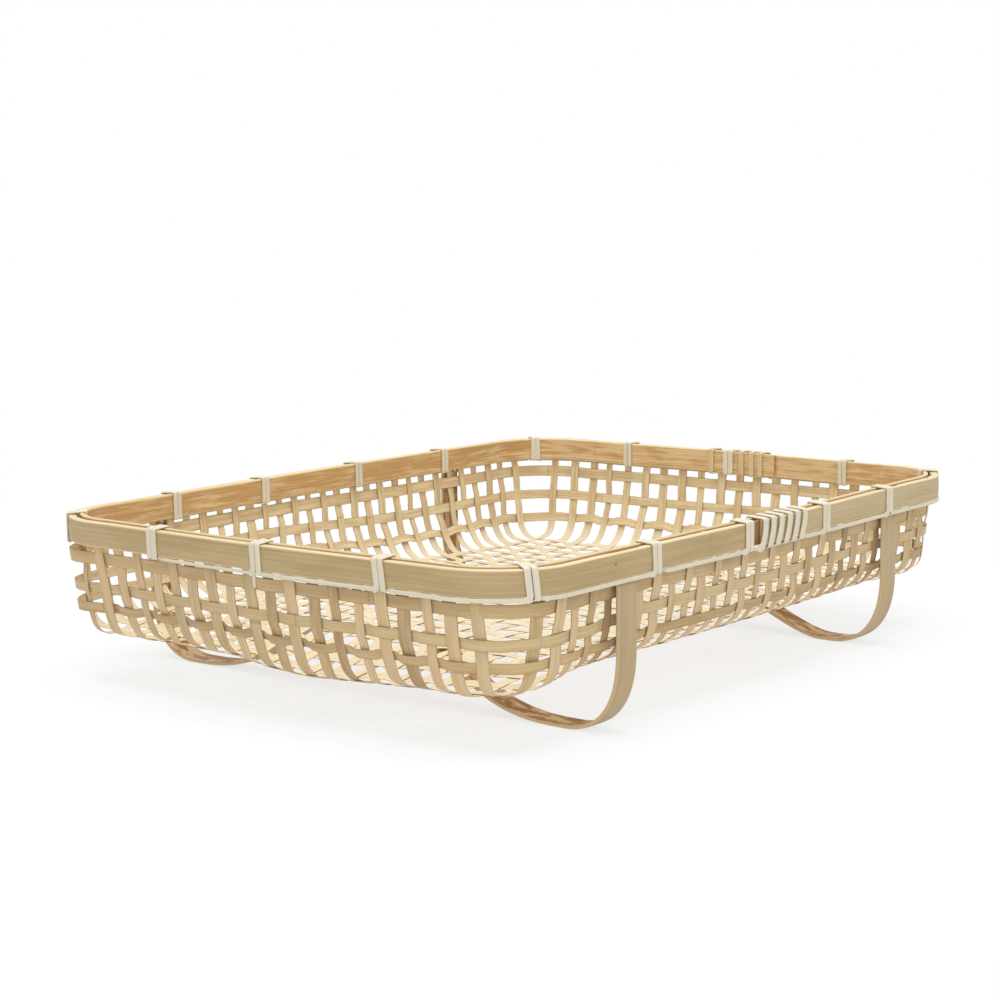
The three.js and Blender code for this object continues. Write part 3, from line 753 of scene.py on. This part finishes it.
def splint(name, stakes, crossings, pushes, width, tone, base_spread):
    """A splint up one wall, over the base through its crossings, and up the wall opposite."""
    wall = WALLS[STAKE_WALL[stakes[0]]]
    (first, first_side, first_thick), (last, last_side, last_thick) = (splint_end(k) for k in stakes)
    steps = int(np.linalg.norm(last[0] - first[0]) / SPLINT_STEP)
    base = np.linspace(first[0], last[0], steps)[1:-1]
    middle = np.vstack([first[::-1], base, last])
    across = np.vstack([first_side[::-1], np.tile(first_side[0], (len(base), 1)), -last_side])
    thick = np.vstack([first_thick[::-1], np.tile(-UP, (len(base), 1)), last_thick])
    travelled = distances(middle)
    rows = range(len(ROW_HEIGHTS))
    heights = [[SPLINT_TOP, HOOP_BOTTOM, *(row_height(r, STAKE_PLACE[k]) for r in rows)] for k in stakes]
    knots = np.concatenate([
        np.interp(heights[0], first[:, 2], travelled[:len(first)][::-1]),
        travelled[len(first) - 1] + first[0] @ wall.normal - np.asarray(crossings) * wall.normal.sum(),
        np.interp(heights[1][::-1], last[:, 2], travelled[-len(last):]),
    ])
    swings = [[-row_side(k, r) * STAKE_SWING * PRESS[r, k] for r in rows] for k in stakes]
    offsets = np.concatenate([[0, 0], swings[0], pushes, swings[1][::-1], [0, 0]])
    middle = middle + thick * column(wave(travelled, knots, offsets))
    sway = wander(travelled, *SWAY) * smooth((SWAY_TOP - middle[:, 2]) / SWAY_FADE)
    wider = LOW_ALONG[stakes[0]] * base_spread * widened(middle @ wall.normal, wall.half - BASE_INSET)
    middle = middle + across * column(sway) + wall.along * column(wider)
    beside = 1 if LOW_ALONG[stakes[0]] > 0 else 3
    middle, across, thick = lay_on_bend(middle, across, thick, (STAKE_WALL[stakes[0]] + beside) % 4)
    pale = 1 - smooth((middle[:, 2] - PALE_FROM) / PALE_RUN)
    middle, across, thick = hang(middle, across, thick)
    half = width / 2 * (1 + wander(travelled, *WIDTH_DRIFT))
    half = half * np.linspace(NEAR_WIDTH, FAR_WIDTH, len(middle))
    joints = joint_places(travelled[-1], *SPLINT_JOINTS)
    half_thick = (SPLINT_THICKNESS + (BASE_THICKNESS - SPLINT_THICKNESS) * pale) / 2
    strip(name, "bamboo_splint", middle, across, thick, half, half_thick, SPLINT_SECTION, tone, joints,
          pale=pale)


SPLINT_SECTION = outline(0.1, 0.75, 0.25, 4)
WIDTHS = SPLINT_WIDTH * rng.uniform(*WIDTH_RANGE, STAKES)
WIDTHS[BROAD_SPLINT] = BROAD_WIDTH
TONES = rng.beta(1.6, 1.4, STAKES)
TONES[BROAD_SPLINT] = BROAD_TONE

for j in range(LONG_SPLINTS):
    stakes = (LONG_SPLINTS - 1 - j, LONG_SPLINTS + CROSS_SPLINTS + j)
    crossings = CROSS_X * (1 + CROSS_SPREAD * widened(LONG_Y[j], HALF_Y - BASE_INSET))
    pushes = LONG_SWING * CROSSING[:, j]
    splint(f"splint_long_{j + 1:02d}", stakes, crossings, pushes, WIDTHS[j], TONES[j], LONG_SPREAD)

for k in range(CROSS_SPLINTS):
    number = LONG_SPLINTS + k
    stakes = (number, STAKES - 1 - k)
    leftward = 0.5 - 0.5 * CROSS_X[k] / (HALF_X - BASE_INSET)
    crossings = LONG_Y - leftward * FORWARD[:LONG_SPLINTS][::-1]
    crossings = crossings * (1 + LONG_SPREAD * widened(CROSS_X[k], HALF_X - BASE_INSET))
    pushes = -CROSS_SWING * CROSSING[k]
    name = f"splint_cross_{k + 1:02d}"
    splint(name, stakes, crossings, pushes, WIDTHS[number], TONES[number], CROSS_SPREAD)


# Weaver rows

def on_wall(z, place):
    """Inset and tilt of the woven wall at some heights and places round the rim."""
    radius = bend_radius(place)
    centre_inset, centre_z, start_z = bend(radius)
    tilt = np.where(z < start_z, np.arcsin(np.clip((centre_z - z) / radius, 0.0, 1.0)), WALL_LEAN)
    return np.where(z < start_z, centre_inset - radius * np.cos(tilt), wall_inset(z)), tilt


def weaver_row(row):
    """A row round the walls, outside one upright splint and inside the next."""
    knots = []
    offsets = []
    for stake in range(STAKES):
        wall = WALLS[STAKE_WALL[stake]]
        z = row_height(row, STAKE_PLACE[stake])
        along = upright(z, LOW_ALONG[stake], TOP_ALONG[stake])
        past = max(abs(along) - wall.corner, 0.0)
        inset, _ = on_wall(z, rim_place(STAKE_WALL[stake], along))
        turned = math.asin(past / (CORNER_RADIUS - inset)) * CORNER_RADIUS
        on_rim = math.copysign(min(abs(along), wall.corner) + turned, along)
        knots.append(rim_place(STAKE_WALL[stake], on_rim))
        offsets.append(row_side(stake, row) * ROW_SWINGS[row] * PRESS[row, stake])
    knots = [knots[-1] - PERIMETER, *knots, knots[0] + PERIMETER]
    offsets = [offsets[-1], *offsets, offsets[0]]
    count = int(PERIMETER / ROW_STEP)
    place = np.arange(count) * PERIMETER / count
    bulge = np.zeros(count)
    for corner, size in enumerate(ROW_CORNER_BULGES):
        bulge += size * smooth(1 - around(place, rim_corner(corner)) / (QUARTER_ARC / 2))
    z = row_height(row, place)
    inset, tilt = on_wall(z, place)
    point, out, _ = rim(place, inset)
    thick = leaning(tilt, out, -UP)
    across = leaning(tilt, UP, out)
    drift = np.zeros(count)
    for turns in ROW_WAVES:
        drift += np.sin(turns * 2 * math.pi * place / PERIMETER + rng.uniform(0, 6.28)) / math.sqrt(turns)
    middle = point + UP * column(z) + across * column(ROW_DRIFT * drift)
    middle = middle + thick * column(wave(place, knots, offsets) + bulge)
    middle = middle - UP * column(sag(middle))
    half = ROW_WIDTHS[row] / 2 * (1 + ROW_WIDTH_DRIFT * np.roll(drift, 60))
    joints = joint_places(PERIMETER, *ROW_JOINTS)
    tone = ROW_TONES[row] + ROW_TONE_DRIFT * np.roll(drift, 130)
    strip(f"weaver_row_{row + 1}", "bamboo_weaver", middle, across, thick, half, SPLINT_THICKNESS / 2,
          SPLINT_SECTION, tone, joints, closed=True)


for row in range(len(ROW_HEIGHTS)):
    weaver_row(row)


# Hoops

def hoop(name, inset, thickness, scarf_middle, shows_outside, rise):
    """A strip round the rim whose thinned ends lie one behind the other at its scarf joint."""
    half = (thickness - SCARF_GAP) / 2
    start = scarf_middle - SCARF_LENGTH / 2
    end = start + SCARF_LENGTH
    bare = SCARF_RECESS if shows_outside else HOOP_END_CLEAR
    place = np.arange(start + bare, end + PERIMETER - HOOP_END_CLEAR, HOOP_STEP)
    first = smooth((end + FIRST_END_RUN / 2 - place) / FIRST_END_RUN)
    last = smooth((place - (start + PERIMETER - LAST_END_RUN)) / LAST_END_RUN)
    inner, outer = (first, last) if shows_outside else (last, first)
    near = inset + (thickness - half) * outer
    far = inset + thickness - (thickness - half) * inner
    lump = np.zeros(len(place))
    if shows_outside:
        fill = HOOP_FILL * (1 - first) * (1 - last)
        for index in (FRONT, BACK):
            for along in (-RUNNER_SPREAD, RUNNER_SPREAD):
                fill = fill * smooth((around(place, rim_place(index, along)) - FILL_CLEAR) / FILL_RUN)
        far = far + fill
        lump = SPLICE_LUMP * first * (0.5 - 0.5 * np.cos(2 * math.pi * (place - start - bare) / SPLICE_STEP))
    point, out, _ = rim(place, (near + far) / 2)
    level = (HOOP_BOTTOM + RIM_TOP + rise) / 2 + wander(place, *HOOP_DRIFT)
    middle = point + UP * column(level) + out * column(lump)
    half_width = (HOOP_HEIGHT + rise) / 2 + wander(place, *HOOP_WIDTH_DRIFT) + LUMP_WIDER * lump
    across = np.tile(UP, (len(place), 1))
    # a hoop is lighter round one place; for the inner hoop on the right wall this is painted light
    light_at = rim_place(FRONT, OUTER_LIGHT_AT) if shows_outside else rim_place(RIGHT, INNER_LIGHT_AT)
    tone = (OUTER_TONE if shows_outside else INNER_TONE) + wander(place, *HOOP_TONE_DRIFT)
    tone = tone + LIGHTER * close_to(place, light_at, LIGHT_REACH)
    joints = joint_places(PERIMETER, *HOOP_JOINTS)
    stain = JOINT_STAIN * last if shows_outside else 0.0
    strip(name, "bamboo_" + name, middle, across, out, half_width, (far - near) / 2, HOOP_SECTION, tone,
          joints, stain=stain)


HOOP_SECTION = outline(0.09, 0.42, 0.07, 7)
scarf = rim_place(FRONT, OUTER_SCARF_AT)
hoop("hoop_outer", 0.0, OUTER_HOOP_THICKNESS, scarf, True, 0.0)
scarf = rim_place(RIGHT, INNER_SCARF_AT)
hoop("hoop_inner", INNER_HOOP_INSET, INNER_HOOP_THICKNESS, scarf, False, INNER_HOOP_RISE)


# Foot runners

def bezier(a, b, c, d, count):
    """Points along a cubic curve."""
    t = np.linspace(0, 1, count)[:, None]
    a, b, c, d = (np.array(point) for point in (a, b, c, d))
    return (1 - t) ** 3 * a + 3 * (1 - t) ** 2 * t * b + 3 * (1 - t) * t * t * c + t ** 3 * d


def foot_runner(name, x, rise):
    """A runner: tucked into the rim on both long sides, looped down to the floor, bearing on the base."""
    face = HALF_Y + float(bow(x, CORNER_X))
    low = RUNNER_THICKNESS / 2 * (1 + RUNNER_CROWN)
    outside = OUTER_HOOP_THICKNESS - RUNNER_THICKNESS / 2
    foot = face - FOOT_INSET
    knee = (face - outside, FOOT_KNEE)
    heel = (foot + FOOT_FLAT / 2, low)
    toe = (foot - FOOT_FLAT / 2, low)
    bearing = (RUNNER_BEARING, BEARING_Z)
    tucked = (face - TONGUE_INSET, HOOP_BOTTOM - TUCK_DROPS[0])
    free = (face - outside, HOOP_BOTTOM - TUCK_DROPS[1])
    half = np.vstack([
        np.linspace((face - TONGUE_INSET, SPLINT_TOP), tucked, 6),
        bezier(tucked, (tucked[0], tucked[1] - TUCK_PULL), (free[0], free[1] + TUCK_PULL), free, 7)[1:],
        np.linspace(free, knee, 14)[1:],
        bezier(knee, (knee[0], KNEE_PULL * FOOT_KNEE),
               (heel[0] + HEEL_PULL * (knee[0] - heel[0]), low), heel, 26)[1:],
        np.linspace(heel, toe, 5)[1:],
        bezier(toe, (toe[0] - rise * (toe[0] - bearing[0]), low),
               (bearing[0] + BEARING_PULL * (toe[0] - bearing[0]), BEARING_Z - 0.5), bearing, 34)[1:],
        np.linspace(bearing, (0.0, BEARING_Z), 10)[1:],
    ])
    path = np.vstack([half, (half * [-1, 1])[-2::-1]])
    way = unit(np.gradient(path, axis=0))
    count = len(path)
    middle = np.column_stack([np.full(count, x), path])
    thick = np.column_stack([np.zeros(count), -way[:, 1], way[:, 0]])
    across = np.tile([1.0, 0, 0], (count, 1))
    in_rim = smooth((path[:, 1] - (HOOP_BOTTOM - TONGUE_DROP)) / TONGUE_RUN)
    half_thick = (RUNNER_THICKNESS + (TONGUE_THICKNESS - RUNNER_THICKNESS) * in_rim) / 2
    travelled = distances(middle)
    half_width = RUNNER_WIDTH / 2 + wander(travelled, *RUNNER_WIDTH_DRIFT)
    joints = (rng.uniform(*RUNNER_JOINT),)
    tone = RUNNER_TONE + wander(travelled, *RUNNER_TONE_DRIFT)
    strip(name, "bamboo_runner", middle, across, thick, half_width, half_thick, RUNNER_SECTION, tone, joints)


RUNNER_SECTION = outline(0.06, 0.5, RUNNER_CROWN, 21, RUNNER_GROOVES)
for side, x, rise in zip(("left", "right"), (-RUNNER_SPREAD, RUNNER_SPREAD), RUNNER_RISES):
    foot_runner(f"foot_runner_{side}", x, rise)


# Lashings. A corner of the cane's way is given as its place round the rim, how far out it is from the outer
# hoop's face, its height, the ways the cane's face looks before and after it, its rounding, and the cane's
# half width and tone there.

Corner = namedtuple("Corner", "place out z before after rounding half tone")
OUTWARD, TOPWARD = np.eye(3)[1:]
INWARD, DOWNWARD = -OUTWARD, -TOPWARD
OUT_FACE = CANE_GAP + CANE_THICKNESS / 2
IN_FACE = -RIM_INSET - CANE_GAP - CANE_THICKNESS / 2
OVER_OUTER = RIM_TOP + CANE_GAP + CANE_THICKNESS / 2
OVER_INNER = OVER_OUTER + INNER_HOOP_RISE
BELOW = HOOP_BOTTOM - CANE_GAP - CANE_THICKNESS / 2
RUN_Z = HOOP_BOTTOM - RUN_HEIGHT / 2
Binding = namedtuple("Binding", "feet tops unders half tones run bulge")


def follow(corners):
    """Way of a cane through its corners, in rows: place, out, z, the way its face looks, half width, tone."""
    where = [np.array([c.place, c.out, c.z]) for c in corners]
    coming = [np.array([*c.before, c.half, c.tone]) for c in corners]
    going = [np.array([*c.after, c.half, c.tone]) for c in corners]
    rows = []
    for k, here in enumerate(where):
        before, after = here, here
        turns = (0.0,)
        if 0 < k < len(corners) - 1:
            ways = [where[k - 1] - here, where[k + 1] - here]
            lengths = [np.linalg.norm(way) for way in ways]
            before, after = (
                here + w / n * min(corners[k].rounding, 0.48 * n) for w, n in zip(ways, lengths))
            turns = np.linspace(0, 1, 7)
        if k > 0:
            steps = max(2, int(np.linalg.norm(before - left_at) / CANE_STEP))
            for t in np.linspace(0, 1, steps + 1)[1:-1]:
                facts = going[k - 1] + (coming[k] - going[k - 1]) * t
                rows.append([*(left_at + (before - left_at) * t), *facts])
        for t in turns:
            point = (1 - t) ** 2 * before + 2 * t * (1 - t) * here + t * t * after
            rows.append([*point, *(coming[k] + (going[k] - coming[k]) * t)])
        left_at = after
    return np.array(rows)


def wraps(binding):
    """Corners of a binding: up outside, over both hoops, down inside and out below, for each wrap."""
    made = []
    half = binding.half
    face = OUT_FACE + (SPLICE_GAP if binding.bulge else 0.0)
    for k, (foot, top, under, tone) in enumerate(zip(*binding[:3], binding.tones)):
        steps = [(foot, face, HOOP_BOTTOM - WRAP_DROP, DOWNWARD, OUTWARD, 1.3)]
        if k == 0:
            steps = [(foot, face, RUN_Z, OUTWARD, OUTWARD, 2.4)]
        if binding.bulge:
            middle = foot + BULGE_AT * (top - foot) + binding.bulge
            steps.append((middle, face, HOOP_BOTTOM + BULGE_AT * HOOP_HEIGHT, OUTWARD, OUTWARD, 5.0))
        steps.append((top, face, OVER_OUTER, OUTWARD, TOPWARD, EDGE_BEND))
        steps.append((top, IN_FACE, OVER_INNER, TOPWARD, INWARD, EDGE_BEND))
        steps.append((top, IN_FACE, BELOW, INWARD, DOWNWARD, EDGE_BEND))
        made.extend(Corner(*step, half, tone) for step in steps)
        for out in STAKE_SIDES[:2 if k + 1 < len(binding.feet) else 1]:
            made.append(Corner(under, out, BELOW, DOWNWARD, DOWNWARD, 1.0, min(half, UNDER_HALF), tone))
    return made


def along_way(middle, face):
    """Directions across and through a strip along its way, from the way that its face looks."""
    way = unit(np.gradient(middle, axis=0))
    across = unit(np.cross(way, face))
    return across, np.cross(across, way)


def on_run(place, height):
    """Corner of the cane where it runs along under the outer hoop."""
    return Corner(place, RUN_OUT, RUN_Z, OUTWARD, OUTWARD, 1.5, height / 2, RUN_TONE)


def lashing(name, bindings):
    """One unbroken cane that runs under the outer hoop and is wrapped round both hoops at each binding."""
    corners = []
    for number, binding in enumerate(bindings):
        if number > 0:
            corners.append(on_run(binding.feet[0] - RUN_CLEAR, binding.run))
        corners.extend(wraps(binding))
        under = binding.unders[-1]
        corners.append(Corner(under, RUN_TURN_OUT, BELOW, DOWNWARD, DOWNWARD, 1.6, RUN_TURN_HALF, RUN_TONE))
        if number + 1 < len(bindings):
            corners.append(on_run(under + RUN_CLEAR, bindings[number + 1].run))
    local = follow(corners)
    point, out, side = rim(local[:, 0], -local[:, 1])
    middle = point + UP * local[:, 2:3]
    face = side * local[:, 3:4] + out * local[:, 4:5] + UP * local[:, 5:6]
    across, thick = along_way(middle, face)
    *_, half, tone = local.T
    strip(name, "white_cane", middle, across, thick, half, CANE_THICKNESS / 2, CANE_SECTION, tone)


def wall_binding(index, centre, gap, lean=0.0, run=RUN_HEIGHT):
    """Two wraps side by side, that pass below the hoops in a gap between two upright splints."""
    width = CANE_WIDTH if index in (LEFT, FRONT) else BACK_CANE_WIDTH
    pair = np.array([-0.5, 0.5]) * (width + CANE_PITCH - CANE_WIDTH)
    feet = rim_place(index, centre) + pair
    unders = rim_place(index, gap * WALLS[index].pitch) + 0.75 * pair
    tops = feet + lean + rng.uniform(-0.3, 0.3)
    return Binding(feet, tops, unders, width / 2, rng.uniform(0, 0.25, 2), run, 0.0)


def corner_binding(index, off=0.0, lean=0.0):
    """Two wraps at a corner, a little off its middle."""
    feet = rim_corner(index) + off + np.array([-CANE_PITCH / 2, CANE_PITCH / 2])
    return Binding(feet, feet + lean, feet, CANE_WIDTH / 2 * 0.96, rng.uniform(0, 0.2, 2), RUN_HEIGHT, 0.0)


def splice(index, feet, tops, unders, half, tones, bulge):
    """A longer run of wraps over a hoop's joint."""
    feet, tops, unders = rim_place(index, 0.0) + np.array([feet, tops, unders])
    return Binding(feet, tops, unders, half, tones, RUN_HEIGHT, bulge)


CANE_SECTION = outline(0.16, 0.7, 0.3, 5)
OUTER_WRAP_FEET = (-14.2, -7.2, 0.0, 8.0, 15.7, 22.9)
OUTER_WRAP_TOPS = (-11.4, -3.7, 4.2, 12.1, 19.6, 27.2)
INNER_WRAPS = (-23.6, -17.4, -10.2, -2.3, 1.4, 11.7)
INNER_TONES = (0.85, 0.8, 0.9, 0.05, 0.05, 0.85)


def in_gaps(gaps, pitch):
    """Two places in each of some gaps between upright splints."""
    return [gap * pitch + step for gap in gaps for step in (-0.4 * CANE_PITCH, 0.4 * CANE_PITCH)]


front_bindings = [
    wall_binding(LEFT, -68.1, -5, -0.8),
    wall_binding(LEFT, 5.1, 0, -0.8, THIN_RUN_HEIGHT),
    wall_binding(LEFT, 81.0, 6, -2.2),
    corner_binding(LEFT, 11.0, -1.6),
    wall_binding(FRONT, -103.0, -8, -0.8),
    wall_binding(FRONT, -25.5, -2),
    splice(FRONT, OUTER_WRAP_FEET, OUTER_WRAP_TOPS, in_gaps((0, 1, 2), CROSS_PITCH),
           SPLICE_CANE_WIDTH / 2, np.full(6, RUN_TONE), SPLICE_BULGE),
    wall_binding(FRONT, 49.7, 4),
    wall_binding(FRONT, 120.0, 9),
    corner_binding(FRONT),
]
back_bindings = [
    wall_binding(RIGHT, -82.0, -6),
    splice(RIGHT, INNER_WRAPS, INNER_WRAPS, in_gaps((-2, -1, 0), LONG_PITCH),
           INNER_SPLICE_WIDTH / 2, INNER_TONES, 0.0),
    wall_binding(RIGHT, 73.6, 5),
    corner_binding(RIGHT),
    wall_binding(BACK, -112.0, -9),
    wall_binding(BACK, -34.0, -3),
    wall_binding(BACK, 46.0, 4),
    wall_binding(BACK, 116.5, 9),
    corner_binding(BACK),
]
lashing("lashing_front", front_bindings)
lashing("lashing_back", back_bindings)


# Loose ends

def loose_strip(name, index, along, route, half_width, half_thick, tone):
    """Short loose strip at a place on the rim, through points: distance on, distance out and height."""
    route = np.array(route) + [rim_place(index, along), 0, 0]
    share = np.linspace(0, len(route) - 1, 6 * len(route))
    smoothed = np.column_stack([np.interp(share, np.arange(len(route)), route[:, k]) for k in range(3)])
    for _ in range(4):
        smoothed[1:-1] = (smoothed[:-2] + 2 * smoothed[1:-1] + smoothed[2:]) / 4
    point, out, _ = rim(smoothed[:, 0], -smoothed[:, 1])
    middle = point + UP * smoothed[:, 2:]
    across, thick = along_way(middle, out)
    taper = 1 - 0.35 * smooth(np.linspace(0, 1, len(middle)))
    return sweep(name, middle, across, thick, half_width * taper, half_thick * taper, CANE_SECTION, tone)


TAIL_ROUTE = [(0, -0.2, 75.0), (0.4, 0.6, 72.0), (1.2, 0.9, 67.5)]
FIBRE_ROUTE = [(0, -9.3, 75.2), (-6, -10.5, 79.5), (-13, -13.0, 83.5)]
settle(loose_strip("cane_tail", LEFT, 3.0, TAIL_ROUTE, 1.1, 0.35, 0.2), "white_cane")
settle(loose_strip("stray_fibre", BACK, 114.0, FIBRE_ROUTE, 0.2, 0.16, 0.6), "bamboo_splint")


# Camera, floor and light

def place_camera():
    """Camera where the photograph was taken from."""
    data = bpy.data.cameras.new("camera")
    data.lens = CAMERA_LENS
    data.sensor_width = 36.0
    camera = show("camera", data)
    turn = Matrix.Rotation(-CAMERA_YAW, 4, "Z") @ Matrix.Rotation(math.pi / 2 - CAMERA_PITCH, 4, "X")
    turn = turn @ Matrix.Rotation(CAMERA_ROLL, 4, "Z")
    camera.matrix_world = Matrix.Translation([value * MM for value in CAMERA_AT]) @ turn
    bpy.context.scene.camera = camera


def make_floor():
    """Wide white floor that keeps a soft shadow."""
    mesh = bpy.data.meshes.new("floor")
    corners = [(x * FLOOR_HALF, y * FLOOR_HALF, 0) for x, y in ((-1, -1), (1, -1), (1, 1), (-1, 1))]
    mesh.from_pydata(corners, [], [(0, 1, 2, 3)])
    floor = show("floor", mesh)
    tree, shader = new_material("floor")
    shader.inputs["Base Color"].default_value = FLOOR_COLOUR
    shader.inputs["Roughness"].default_value = 0.9
    shader.inputs["Specular IOR Level"].default_value = 0.0
    seen = add(tree, "ShaderNodeLightPath").outputs["Is Camera Ray"]
    white = add(tree, "ShaderNodeEmission", {"Color": (1, 1, 1, 1), "Strength": 1.0})
    place = add(tree, "ShaderNodeNewGeometry").outputs["Position"]
    away = add(tree, "ShaderNodeVectorMath", {0: place}, operation="LENGTH").outputs["Value"]
    share = spread(tree, seen, 0.0, 1.0, FLOOR_FILL, spread(tree, away, 0.25, 0.75, 0.72, 1.0))
    both = add(tree, "ShaderNodeMixShader", {0: share, 1: shader.outputs[0], 2: white.outputs[0]})
    tree.links.new(both.outputs[0], tree.nodes["Material Output"].inputs["Surface"])
    mesh.materials.append(MATERIALS["floor"])


def area_light(name, place, aim, size, power):
    """Soft lamp aimed at a point."""
    data = bpy.data.lights.new(name, "AREA")
    data.shape = "DISK"
    data.size = size
    data.energy = power
    back = np.array(place, float) - np.array(aim, float)
    back /= np.linalg.norm(back)
    right = np.cross([0, 1, 0.01], back)
    right /= np.linalg.norm(right)
    sides = np.column_stack([right, np.cross(back, right), back, place])
    show(name, data).matrix_world = Matrix([*sides.tolist(), (0, 0, 0, 1)])


def make_light():
    """White surroundings and two soft lamps."""
    world = bpy.data.worlds.new("studio")
    bpy.context.scene.world = world
    world.use_nodes = True
    tree = world.node_tree
    path = add(tree, "ShaderNodeLightPath")
    direct = maths(tree, "ADD", path.outputs["Is Camera Ray"], path.outputs["Is Glossy Ray"])
    direct = maths(tree, "ADD", direct, path.outputs["Is Transmission Ray"], clamp=True)
    background = tree.nodes["Background"]
    background.inputs["Color"].default_value = (1, 1, 1, 1)
    tree.links.new(spread(tree, direct, 0.0, 1.0, WORLD_LIGHT, 1.0), background.inputs["Strength"])
    for lamp in LAMPS:
        area_light(*lamp)


place_camera()
make_floor()
make_light()
bpy.context.scene.view_settings.view_transform = "Standard"
